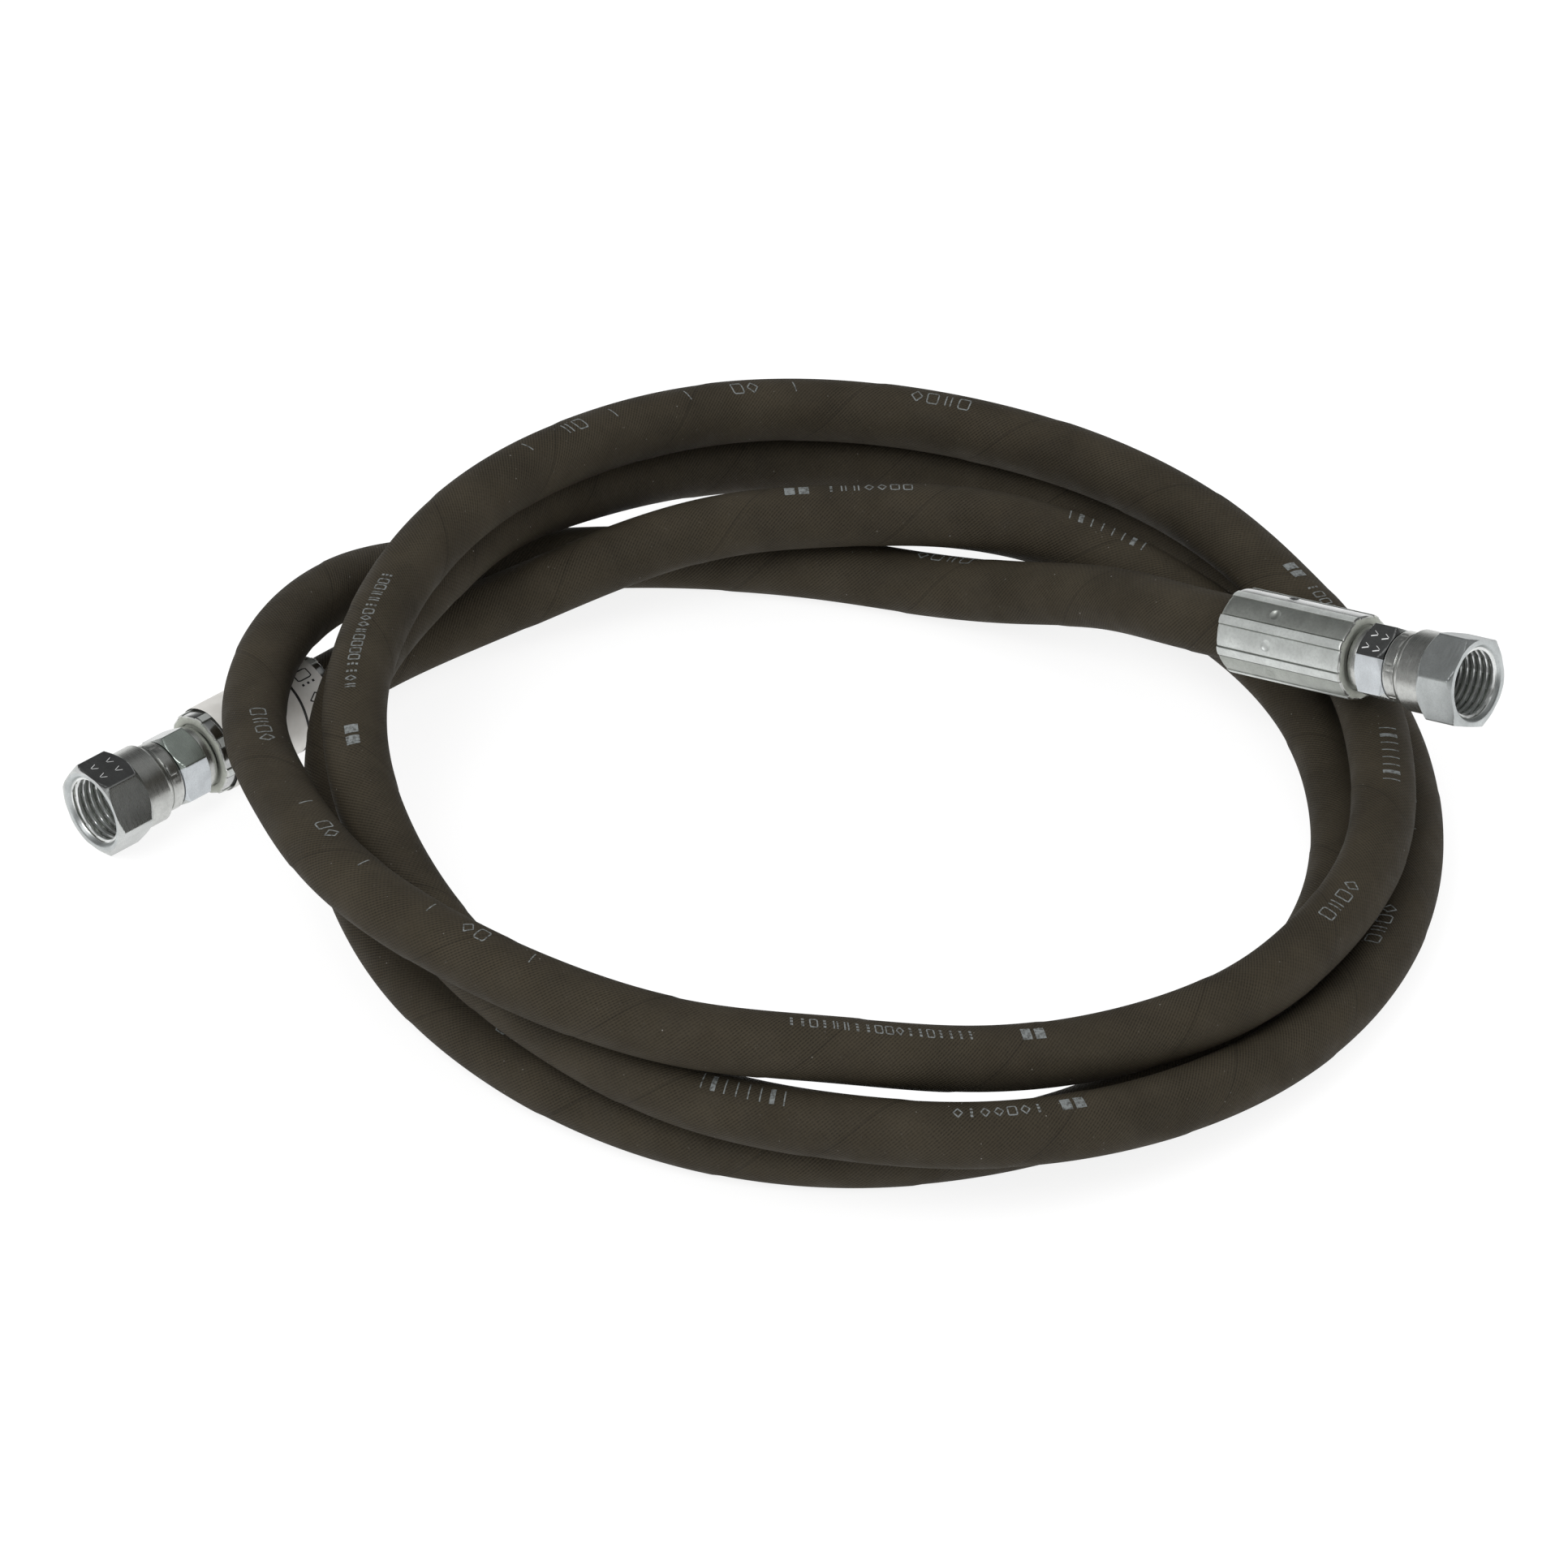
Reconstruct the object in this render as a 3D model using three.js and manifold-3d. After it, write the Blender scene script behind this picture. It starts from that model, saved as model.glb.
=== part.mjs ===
// Coiled hydraulic hose assembly: a two-wire rubber hose of 12.7 mm bore, laid in a loose coil of
// three and a half turns, with a crimped 37 degree swivel fitting at each end.
// Millimetres, +Z up. The origin is on the floor, under the middle of the whole assembly.
import * as THREE from 'three';
import { mergeVertices } from 'three/addons/utils/BufferGeometryUtils.js';
import Module from 'manifold-3d';

const wasm = await Module();
wasm.setup();

// Hose: layers from the bore outwards, as [name, inner radius, outer radius, material]
const HOSE_SIDES = 8;
const LAYERS = [
  ['inner_tube', 6.35, 7.6, 'tube_rubber'],
  ['inner_wire_braid', 7.85, 8.2, 'wire'],
  ['insulation_layer', 8.45, 8.7, 'tube_rubber'],
  ['outer_wire_braid', 8.95, 9.2, 'wire'],
  ['hose_cover', 9.45, 10, 'cover_rubber'],
];

// Coil: its middle, the bearing of its first station and the step from station to station, in
// degrees. The hose runs clockwise, seen from above.
const COIL_MIDDLE = [16.27, 0.56];
const FIRST_BEARING = 150;
const BEARING_STEP = -15;
// The centre line at each station: radius from the coil's middle, and height above the floor.
const TURN_1 = [
  [158, 11.5], [141, 16], [129, 25], [123, 31], [122, 32], [128, 31],
  [138, 26], [147, 18], [153, 13], [155.8, 11], [157.3, 10], [159.6, 10],
  [160.8, 10], [162, 10], [166.5, 10], [167.5, 10], [167, 10], [164, 10],
  [159, 10], [155, 10.5], [153, 12], [153, 19], [153, 29], [151, 36],
];
const TURN_2 = [
  [149, 37.5], [153, 37], [159, 30.5], [169, 21.5], [177, 14], [180, 11],
  [178, 10], [176.5, 10], [175.7, 10], [177, 10], [178.4, 10], [180.7, 10],
  [182.2, 11], [183.3, 14.5], [185, 21], [184.5, 27], [178, 30], [170, 31],
  [160, 32.5], [154, 36], [151, 44], [149, 53], [146, 57.5], [144, 58],
];
const TURN_3 = [
  [144.5, 58.5], [147, 57.3], [154.5, 51.3], [166, 43], [174, 35.5], [175, 31.5],
  [172, 31], [169, 30.5], [166, 30.5], [168, 30.5], [169, 30.5], [172, 30.5],
  [172, 31], [171, 32], [164, 32], [160, 36.5], [162.5, 46.5], [167.5, 52],
  [167, 53.5], [169, 55], [172, 54], [173, 49], [178, 44], [178, 41],
];
const LAST_STATIONS = [
  [174, 31.5], [166, 15.5], [149, 10.3], [133, 10], [123, 10], [118, 11], [116.5, 17.5], [119, 28.5],
];

// Ends: where the hose enters each ferrule, the compass heading and the rise of the fitting from
// there to its mouth in degrees, and the turn of its two hexagons about the fitting's own axis.
const END_A = { at: [-145.49, 54.13, 13.7], heading: 221.85, rise: 0, stemTurn: 37.4, nutTurn: -0.7 };
const END_B = { at: [143.74, 43.81, 46.57], heading: -37.59, rise: 12.83, stemTurn: 20.1, nutTurn: 29.8 };
const HOSE_IN_FERRULE = 36;
const STRAIGHT_BEFORE_B = 22;

// Fitting: distances along its axis, from the ferrule's hose end (0) to the nut's mouth (90.2)
const ROUND_SIDES = 24;
const STEM_SIDES = 16;
const FERRULE_LENGTH = 47.2;
const FERRULE_RADIUS = 13.7;
const FERRULE_BORE = 10.6;
const FERRULE_WEB = 40.2;
const FERRULE_LIP = 8;
const CRIMP_LANDS = 8;
const CRIMP_GROOVE = { halfAngle: 3.5, depth: 0.45 };
const FERRULE_BEVEL = { rear: 1.6, front: 0.4 };
const FERRULE_ENTRY = 0.8;
const STEM_BORE = 4.5;
const BARB = { foot: 5.1, crest: 5.5, from: 2, crests: [8, 18, 28], to: 36.4 };
const FLANGE = { radius: 9.9, to: 39.8 };
const STEM_GROOVE = { radius: 7.5, to: 47.6 };
const COLLAR = { radius: 10.3, from: 48.4, to: 51, bevel: 0.4, foot: 9 };
const STEM_HEX = { flats: 22, from: 51.3, to: 61.5 };
const STEM_NECK = 8.2;
const HEAD = { radius: 9.7, from: 66.1, to: 75.6, seat: 8.2, seatDepth: 4.9 };
const NUT_HEX = { flats: 27, from: 76.6, to: 90.2 };
const NUT_NECK = { radius: 11.3, from: 61.9, to: 66.2, bore: 8.6, bevel: 0.4 };
const NUT_SHOULDER = { radius: 12.9, from: 68.4 };
const NUT_THREAD = { radius: 10.3, from: 65.7, mouth: 12.1, mouthDepth: 1.8 };
const HEX_CHAMFER = 0.6;
const LABEL = { from: 3, to: 43, inner: 13.95, outer: 14.15, span: 300, steps: 20 };

const MATERIALS = {
  cover_rubber: { color: 0x35302b, roughness: 0.75, metalness: 0 },
  tube_rubber: { color: 0x171717, roughness: 0.6, metalness: 0 },
  wire: { color: 0xb08d4a, roughness: 0.4, metalness: 1 },
  zinc: { color: 0xd2d6d4, roughness: 0.3, metalness: 1 },
  label_film: { color: 0xe4e2dc, roughness: 0.5, metalness: 0 },
};

function material(name) {
  return new THREE.MeshStandardMaterial({ name, ...MATERIALS[name] });
}

function mesh(name, geometry, materialName) {
  const piece = new THREE.Mesh(geometry, material(materialName));
  piece.name = name;
  return piece;
}

// Solids: joined and cut as manifolds, then turned back into geometry

function toSolid(geometry) {
  geometry.deleteAttribute('normal');
  geometry.deleteAttribute('uv');
  const merged = mergeVertices(geometry, 1e-4);
  return new wasm.Manifold(new wasm.Mesh({
    numProp: 3,
    vertProperties: merged.attributes.position.array,
    triVerts: new Uint32Array(merged.index.array),
  }));
}

function toGeometry(solid) {
  const found = solid.getMesh();
  const geometry = new THREE.BufferGeometry();
  geometry.setAttribute('position', new THREE.BufferAttribute(found.vertProperties, 3));
  geometry.setIndex(new THREE.BufferAttribute(found.triVerts, 1));
  geometry.computeVertexNormals();
  return geometry;
}

// A solid turned about Z. The outline is a list of [radius, distance along Z], counter-clockwise
// with the radius to the right, and is closed back to its first point.
function turned(outline, sides = ROUND_SIDES) {
  const points = [...outline, outline[0]].map(([radius, along]) => new THREE.Vector2(radius, along));
  return new THREE.LatheGeometry(points, sides).rotateX(Math.PI / 2);
}

// A hexagon bar about Z with both ends of its corners chamfered, turned so that one corner stands
// at the given angle from +X
function hexagonBar({ flats, from, to }, angle) {
  const corner = flats / Math.sqrt(3);
  const bar = new THREE.CylinderGeometry(corner, corner, to - from, 6);
  bar.rotateX(Math.PI / 2).rotateZ(THREE.MathUtils.degToRad(angle - 30));
  bar.translate(0, 0, (from + to) / 2);
  const slope = HEX_CHAMFER * Math.tan(Math.PI / 3);
  const limit = turned([
    [0, from], [corner - slope, from], [corner, from + HEX_CHAMFER],
    [corner, to - HEX_CHAMFER], [corner - slope, to], [0, to],
  ], 2 * ROUND_SIDES);
  return toSolid(bar).intersect(toSolid(limit));
}

// Ferrule: a sleeve squeezed on to the hose by eight dies, which leave eight lands with a narrow
// groove between each two, and a web at the front that locks into the groove of the stem

function ferruleOutline() {
  const shape = new THREE.Shape();
  const pitch = 360 / CRIMP_LANDS;
  const groove = CRIMP_GROOVE.halfAngle;
  const points = [];
  const add = (angle, radius) => {
    const turn = THREE.MathUtils.degToRad(angle);
    points.push(new THREE.Vector2(radius * Math.cos(turn), radius * Math.sin(turn)));
  };
  for (let land = 0; land < CRIMP_LANDS; land += 1) {
    const start = land * pitch;
    add(start, FERRULE_RADIUS - CRIMP_GROOVE.depth);
    add(start + groove, FERRULE_RADIUS);
    add(start + pitch / 2, FERRULE_RADIUS);
    add(start + pitch - groove, FERRULE_RADIUS);
  }
  return shape.setFromPoints(points);
}

function ferrule() {
  const sleeve = new THREE.ExtrudeGeometry(ferruleOutline(), { depth: FERRULE_LENGTH, bevelEnabled: false });
  const beyond = FERRULE_RADIUS + 0.1;
  const front = FERRULE_LENGTH - FERRULE_BEVEL.front;
  const bevelled = turned([
    [0, 0], [beyond - FERRULE_BEVEL.rear, 0], [beyond, FERRULE_BEVEL.rear],
    [beyond, front], [beyond - FERRULE_BEVEL.front, FERRULE_LENGTH], [0, FERRULE_LENGTH],
  ]);
  const entry = FERRULE_BORE + FERRULE_ENTRY;
  const bore = turned([
    [0, -1], [entry, -1], [entry, FERRULE_ENTRY / 2], [FERRULE_BORE, 2 * FERRULE_ENTRY],
    [FERRULE_BORE, FERRULE_WEB], [FERRULE_LIP, FERRULE_WEB], [FERRULE_LIP, FERRULE_LENGTH + 1],
    [0, FERRULE_LENGTH + 1],
  ]);
  return toGeometry(toSolid(sleeve).intersect(toSolid(bevelled)).subtract(toSolid(bore)));
}

// Hose stem: barbed tail inside the hose, flange and groove under the ferrule's web, collar,
// hexagon, and the head that the swivel nut turns on, with its 37 degree cone seat

function hoseStem(hexTurn) {
  const barbs = BARB.crests.flatMap((along) => [[BARB.crest, along], [BARB.foot, along]]);
  const turnedPart = turned([
    [STEM_BORE, BARB.from], [BARB.foot, BARB.from], ...barbs, [BARB.crest, BARB.to],
    [FLANGE.radius, BARB.to], [FLANGE.radius, FLANGE.to],
    [STEM_GROOVE.radius, FLANGE.to], [STEM_GROOVE.radius, STEM_GROOVE.to],
    [COLLAR.foot, STEM_GROOVE.to], [COLLAR.foot, COLLAR.from - COLLAR.bevel],
    [COLLAR.radius, COLLAR.from], [COLLAR.radius, COLLAR.to], [COLLAR.foot, COLLAR.to + COLLAR.bevel],
    [COLLAR.foot, STEM_HEX.from + 4], [STEM_NECK, STEM_HEX.from + 4], [STEM_NECK, HEAD.from],
    [HEAD.radius, HEAD.from], [HEAD.radius, HEAD.to],
    [HEAD.seat, HEAD.to], [STEM_BORE, HEAD.to - HEAD.seatDepth],
  ], STEM_SIDES);
  return toGeometry(toSolid(turnedPart).add(toSolid(toGeometry(stemHexagon(hexTurn)))));
}

function stemHexagon(hexTurn) {
  const hollow = STEM_NECK - 1.2;
  const hole = turned([
    [0, STEM_HEX.from - 3], [hollow, STEM_HEX.from - 3], [hollow, STEM_HEX.to + 3], [0, STEM_HEX.to + 3],
  ], STEM_SIDES);
  return hexagonBar(STEM_HEX, hexTurn).subtract(toSolid(hole));
}

// Swivel nut: a crimped neck and a round shoulder behind a hexagon, bored for the thread, with a
// lip at the rear that runs behind the head of the stem

function swivelNut(hexTurn) {
  const shoulder = turned([
    [0, NUT_NECK.from], [NUT_NECK.radius - NUT_NECK.bevel, NUT_NECK.from],
    [NUT_NECK.radius, NUT_NECK.from + NUT_NECK.bevel], [NUT_NECK.radius, NUT_NECK.to],
    [NUT_SHOULDER.radius, NUT_SHOULDER.from], [NUT_SHOULDER.radius, NUT_HEX.from + 1], [0, NUT_HEX.from + 1],
  ]);
  const bore = turned([
    [0, NUT_NECK.from - 4], [NUT_NECK.bore, NUT_NECK.from - 4], [NUT_NECK.bore, NUT_THREAD.from],
    [NUT_THREAD.radius, NUT_THREAD.from], [NUT_THREAD.radius, NUT_HEX.to - NUT_THREAD.mouthDepth],
    [NUT_THREAD.mouth, NUT_HEX.to], [NUT_THREAD.mouth, NUT_HEX.to + 4], [0, NUT_HEX.to + 4],
  ]);
  return toGeometry(hexagonBar(NUT_HEX, hexTurn).add(toSolid(shoulder)).subtract(toSolid(bore)));
}

// Label: a thin film wrapped round the ferrule, whose ends stop short of each other underneath

function label() {
  const shape = new THREE.Shape();
  const half = LABEL.span / 2;
  const first = THREE.MathUtils.degToRad(90 - half);
  const last = THREE.MathUtils.degToRad(90 + half);
  const outer = [];
  const inner = [];
  for (let step = 0; step <= LABEL.steps; step += 1) {
    const angle = first + (last - first) * step / LABEL.steps;
    outer.push(new THREE.Vector2(LABEL.outer * Math.cos(angle), LABEL.outer * Math.sin(angle)));
    inner.push(new THREE.Vector2(LABEL.inner * Math.cos(angle), LABEL.inner * Math.sin(angle)));
  }
  shape.setFromPoints([...outer, ...inner.reverse()]);
  const film = new THREE.ExtrudeGeometry(shape, { depth: LABEL.to - LABEL.from, bevelEnabled: false });
  return film.translate(0, 0, LABEL.from);
}

// Fittings: each end's group has its Z along the fitting's axis and its Y as near upright as it goes

function axisOf(end) {
  const heading = THREE.MathUtils.degToRad(end.heading);
  const rise = THREE.MathUtils.degToRad(end.rise);
  return new THREE.Vector3(
    Math.cos(rise) * Math.cos(heading),
    Math.cos(rise) * Math.sin(heading),
    Math.sin(rise),
  );
}

function placeAt(group, end) {
  const axis = axisOf(end);
  const side = new THREE.Vector3(0, 0, 1).cross(axis).normalize();
  const top = axis.clone().cross(side);
  group.quaternion.setFromRotationMatrix(new THREE.Matrix4().makeBasis(side, top, axis));
  group.position.set(...end.at);
}

function fitting(letter, end) {
  const group = new THREE.Group();
  group.add(mesh(`ferrule_${letter}`, ferrule(), 'zinc'));
  group.add(mesh(`hose_stem_${letter}`, hoseStem(end.stemTurn), 'zinc'));
  group.add(mesh(`swivel_nut_${letter}`, swivelNut(end.nutTurn), 'zinc'));
  placeAt(group, end);
  return group;
}

// Hose: every layer follows one smooth centre line, from inside ferrule a to inside ferrule b

class HoseLine extends THREE.CatmullRomCurve3 {
  // The stations of the extrusion are the route's own points, rather than equal lengths of it.
  getPointAt(u, target) {
    return this.getPoint(u, target);
  }

  getTangentAt(u, target) {
    return this.getTangent(u, target);
  }
}

function alongAxis(end, distance) {
  return new THREE.Vector3(...end.at).addScaledVector(axisOf(end), distance);
}

function coilStations() {
  const stations = [...TURN_1, ...TURN_2, ...TURN_3, ...LAST_STATIONS];
  return stations.map(([radius, height], index) => {
    const bearing = THREE.MathUtils.degToRad(FIRST_BEARING + BEARING_STEP * index);
    return new THREE.Vector3(
      COIL_MIDDLE[0] + radius * Math.cos(bearing),
      COIL_MIDDLE[1] + radius * Math.sin(bearing),
      height,
    );
  });
}

function hoseRoute() {
  return [
    alongAxis(END_A, HOSE_IN_FERRULE), alongAxis(END_A, 0),
    ...coilStations(),
    alongAxis(END_B, -STRAIGHT_BEFORE_B), alongAxis(END_B, 0), alongAxis(END_B, HOSE_IN_FERRULE),
  ];
}

function ringShape(inner, outer, sides) {
  const circle = (radius) => Array.from({ length: sides }, (_, corner) => {
    const angle = 2 * Math.PI * corner / sides;
    return new THREE.Vector2(radius * Math.cos(angle), radius * Math.sin(angle));
  });
  const shape = new THREE.Shape(circle(outer));
  shape.holes.push(new THREE.Path(circle(inner).reverse()));
  return shape;
}

function hoseLayer(inner, outer) {
  const route = hoseRoute();
  return new THREE.ExtrudeGeometry(ringShape(inner, outer, HOSE_SIDES), {
    steps: route.length - 1,
    bevelEnabled: false,
    extrudePath: new HoseLine(route),
  });
}

const assembly = new THREE.Group();
for (const [name, inner, outer, materialName] of LAYERS) {
  assembly.add(mesh(name, hoseLayer(inner, outer), materialName));
}
const fittingA = fitting('a', END_A);
fittingA.add(mesh('ferrule_label', label(), 'label_film'));
assembly.add(fittingA, fitting('b', END_B));

export default assembly;
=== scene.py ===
import math

import bpy
import numpy as np
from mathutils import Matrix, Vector


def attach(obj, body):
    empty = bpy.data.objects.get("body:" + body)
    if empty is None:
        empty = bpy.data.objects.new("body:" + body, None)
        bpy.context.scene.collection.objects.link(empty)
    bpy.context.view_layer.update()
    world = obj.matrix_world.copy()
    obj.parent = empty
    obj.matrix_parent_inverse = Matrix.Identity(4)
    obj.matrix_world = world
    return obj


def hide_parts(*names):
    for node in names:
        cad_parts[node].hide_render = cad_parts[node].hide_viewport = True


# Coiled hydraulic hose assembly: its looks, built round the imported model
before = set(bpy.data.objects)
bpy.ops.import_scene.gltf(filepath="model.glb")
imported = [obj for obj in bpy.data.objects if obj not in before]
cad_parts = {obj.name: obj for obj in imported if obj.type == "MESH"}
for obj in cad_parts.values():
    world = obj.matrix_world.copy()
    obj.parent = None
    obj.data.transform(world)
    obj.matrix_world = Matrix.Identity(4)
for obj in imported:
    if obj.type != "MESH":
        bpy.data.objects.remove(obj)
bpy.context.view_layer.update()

MM = 0.001

# ---------------------------------------------------------------------------------------------
# Sizes, in millimetres and degrees, as in the CAD model
# ---------------------------------------------------------------------------------------------

COIL_MIDDLE = (16.27, 0.56)
FIRST_BEARING = 150
BEARING_STEP = -15
# The hose's centre line at each station of the coil: radius from its middle and height
TURN_1 = [
    (158, 11.5), (141, 16), (129, 25), (123, 31), (122, 32), (128, 31),
    (138, 26), (147, 18), (153, 13), (155.8, 11), (157.3, 10), (159.6, 10),
    (160.8, 10), (162, 10), (166.5, 10), (167.5, 10), (167, 10), (164, 10),
    (159, 10), (155, 10.5), (153, 12), (153, 19), (153, 29), (151, 36),
]
TURN_2 = [
    (149, 37.5), (153, 37), (159, 30.5), (169, 21.5), (177, 14), (180, 11),
    (178, 10), (176.5, 10), (175.7, 10), (177, 10), (178.4, 10), (180.7, 10),
    (182.2, 11), (183.3, 14.5), (185, 21), (184.5, 27), (178, 30), (170, 31),
    (160, 32.5), (154, 36), (151, 44), (149, 53), (146, 57.5), (144, 58),
]
TURN_3 = [
    (144.5, 58.5), (147, 57.3), (154.5, 51.3), (166, 43), (174, 35.5), (175, 31.5),
    (172, 31), (169, 30.5), (166, 30.5), (168, 30.5), (169, 30.5), (172, 30.5),
    (172, 31), (171, 32), (164, 32), (160, 36.5), (162.5, 46.5), (167.5, 52),
    (167, 53.5), (169, 55), (172, 54), (173, 49), (178, 44), (178, 41),
]
LAST_STATIONS = [
    (174, 31.5), (166, 15.5), (149, 10.3), (133, 10), (123, 10), (118, 11), (116.5, 17.5), (119, 28.5),
]

# Finishes of a fitting's surfaces, as the numbers of its material slots. Four of them are lighter or darker
# copies of one zinc plate, as painted light and painted shade
TURNED, FLAT, POLISHED, CRIMPED, MATT, BORE_PAINTED_LIGHT, PAINTED_SHADE, PALE_PAINTED_LIGHT, SATIN, GREENISH, PAINTED_HIGHLIGHT = range(11)

# The flats of each hexagon are listed anticlockwise from the corner at the turn's angle, and the
# lands of each ferrule anticlockwise from its side
END_A = {
    "at": (-145.49, 54.13, 13.7), "heading": 221.85, "rise": 0,
    # The sixth stem flat is a paler copy of the zinc, as painted light
    "stem_turn": 37.4, "stem_flats": (GREENISH, FLAT, FLAT, FLAT, FLAT, PALE_PAINTED_LIGHT),
    "nut_turn": -0.7, "nut_flats": (FLAT, POLISHED, FLAT, FLAT, FLAT, FLAT),
    "lands": (POLISHED,) * 8,
}
END_B = {
    "at": (143.74, 43.81, 46.57), "heading": -37.59, "rise": 12.83,
    # The third stem flat is a paler copy of the zinc, as painted light
    "stem_turn": 20.1, "stem_flats": (FLAT, POLISHED, PALE_PAINTED_LIGHT, FLAT, FLAT, FLAT),
    "nut_turn": 29.8, "nut_flats": (SATIN,) * 6,
    # The fourth land is a lighter copy of the zinc, painted light, and the fifth a darker copy, painted
    # shade
    "lands": (CRIMPED, POLISHED, CRIMPED, PAINTED_HIGHLIGHT, PAINTED_SHADE, CRIMPED, CRIMPED, CRIMPED),
}
HOSE_IN_FERRULE = 36
STRAIGHT_BEFORE_B = 22

HOSE_RADIUS = 10
COVER_BORE = 9.45
RING_STEP = 2.4
COVER_SIDES = 60
LAYER_SIDES = 20
# The cloth wrap's print in the cover: length of one turn of it along the hose, height of the step at
# its overlap, and the share of a turn over which the step rises
WRAP = {"pitch": 58, "step": 0.24, "ease": 0.03}

# Camera: what it looks at, how far away and how steeply it looks down
CAMERA_TARGET = (1.27, 25.56, 0)
CAMERA_DISTANCE = 3500
CAMERA_ELEVATION = 38
CAMERA_LENS = 257.6
SENSOR_WIDTH = 36


# ---------------------------------------------------------------------------------------------
# Camera
# ---------------------------------------------------------------------------------------------

def make_camera():
    rise = math.radians(CAMERA_ELEVATION)
    back = Vector((0, -math.cos(rise), math.sin(rise)))
    data = bpy.data.cameras.new("camera")
    data.lens = CAMERA_LENS
    data.sensor_width = SENSOR_WIDTH
    data.clip_start = 0.1
    data.clip_end = 50
    camera = bpy.data.objects.new("camera", data)
    camera.location = (Vector(CAMERA_TARGET) + back * CAMERA_DISTANCE) * MM
    camera.rotation_euler = (math.radians(90 - CAMERA_ELEVATION), 0, 0)
    bpy.context.scene.collection.objects.link(camera)
    bpy.context.scene.camera = camera


make_camera()


# ---------------------------------------------------------------------------------------------
# The hose's centre line
# ---------------------------------------------------------------------------------------------

def axis_of(end):
    heading = math.radians(end["heading"])
    rise = math.radians(end["rise"])
    return np.array((
        math.cos(rise) * math.cos(heading),
        math.cos(rise) * math.sin(heading),
        math.sin(rise),
    ))


def along_axis(end, distance):
    return np.array(end["at"]) + axis_of(end) * distance


def coil_stations():
    points = []
    for index, (radius, height) in enumerate(TURN_1 + TURN_2 + TURN_3 + LAST_STATIONS):
        bearing = math.radians(FIRST_BEARING + BEARING_STEP * index)
        points.append(np.array((
            COIL_MIDDLE[0] + radius * math.cos(bearing),
            COIL_MIDDLE[1] + radius * math.sin(bearing),
            height,
        )))
    return points


def hose_route():
    return np.array([
        along_axis(END_A, HOSE_IN_FERRULE), along_axis(END_A, 0),
        *coil_stations(),
        along_axis(END_B, -STRAIGHT_BEFORE_B), along_axis(END_B, 0), along_axis(END_B, HOSE_IN_FERRULE),
    ])


def smooth_line(points, step):
    """A natural cubic spline through the points, sampled about every step."""
    chords = np.linalg.norm(np.diff(points, axis=0), axis=1)
    knots = np.concatenate([[0], np.cumsum(chords)])
    count = len(points)
    matrix = np.zeros((count, count))
    wanted = np.zeros((count, 3))
    matrix[0, 0] = matrix[-1, -1] = 1
    for i in range(1, count - 1):
        before, after = chords[i - 1], chords[i]
        matrix[i, i - 1:i + 2] = before, 2 * (before + after), after
        wanted[i] = 6 * ((points[i + 1] - points[i]) / after - (points[i] - points[i - 1]) / before)
    bend = np.linalg.solve(matrix, wanted)
    where = np.linspace(0, knots[-1], int(knots[-1] / step) + 1)
    i = np.clip(np.searchsorted(knots, where, side="right") - 1, 0, count - 2)
    chord = chords[i][:, None]
    left = (knots[i + 1] - where)[:, None]
    right = (where - knots[i])[:, None]
    cubic = (bend[i] * left**3 + bend[i + 1] * right**3) / (6 * chord)
    straight = (points[i] / chord - bend[i] * chord / 6) * left
    return cubic + straight + (points[i + 1] / chord - bend[i + 1] * chord / 6) * right


class Line:
    """The centre line as rings: their middles, their distance along the hose from ferrule a's
    mouth, and at each a side direction, to the left of travel, and a top direction."""

    def __init__(self, step):
        self.middle = smooth_line(hose_route(), step)
        steps = np.linalg.norm(np.diff(self.middle, axis=0), axis=1)
        self.along = np.concatenate([[0], np.cumsum(steps)]) - HOSE_IN_FERRULE
        ahead = np.gradient(self.middle, axis=0)
        ahead /= np.linalg.norm(ahead, axis=1)[:, None]
        side = np.cross((0, 0, 1), ahead)
        self.side = side / np.linalg.norm(side, axis=1)[:, None]
        self.top = np.cross(ahead, self.side)

    def at(self, along):
        """(middle, side, top) at these distances along the hose."""
        return tuple(
            np.stack([np.interp(along, self.along, grid[:, k]) for k in range(3)], axis=-1)
            for grid in (self.middle, self.side, self.top)
        )


LINE = Line(RING_STEP)


# ---------------------------------------------------------------------------------------------
# Mesh helpers
# ---------------------------------------------------------------------------------------------

def new_piece(name, vertices, faces, sharp_angle=30, uvs=None):
    """A smooth-shaded object from vertices in millimetres. uvs gives one pair per face corner."""
    data = bpy.data.meshes.new(name)
    data.from_pydata((np.asarray(vertices) * MM).tolist(), [], faces)
    if uvs is not None:
        layer = data.uv_layers.new(name="surface")
        layer.data.foreach_set("uv", np.asarray(uvs, np.float32).ravel())
    data.validate()
    data.shade_smooth()
    data.set_sharp_from_angle(angle=math.radians(sharp_angle))
    piece = bpy.data.objects.new(name, data)
    bpy.context.scene.collection.objects.link(piece)
    return piece


def ring_points(middle, side, top, radius, angles):
    """Points of rings: radius is one number per point, or one per ring, or one for all."""
    across = np.cos(angles)[None, :, None] * side[:, None] + np.sin(angles)[None, :, None] * top[:, None]
    return middle[:, None] + across * np.broadcast_to(radius, across.shape[:2])[..., None]


def grid_faces(rows, columns, first, flip=False):
    """Quads between rows of a closed grid whose points are numbered from first."""
    row, column = np.meshgrid(np.arange(rows - 1), np.arange(columns), indexing="ij")
    a = first + row * columns + column
    b = first + row * columns + (column + 1) % columns
    quads = np.stack([a, b, b + columns, a + columns], axis=-1).reshape(-1, 4)
    return (quads[:, ::-1] if flip else quads).tolist()


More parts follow.
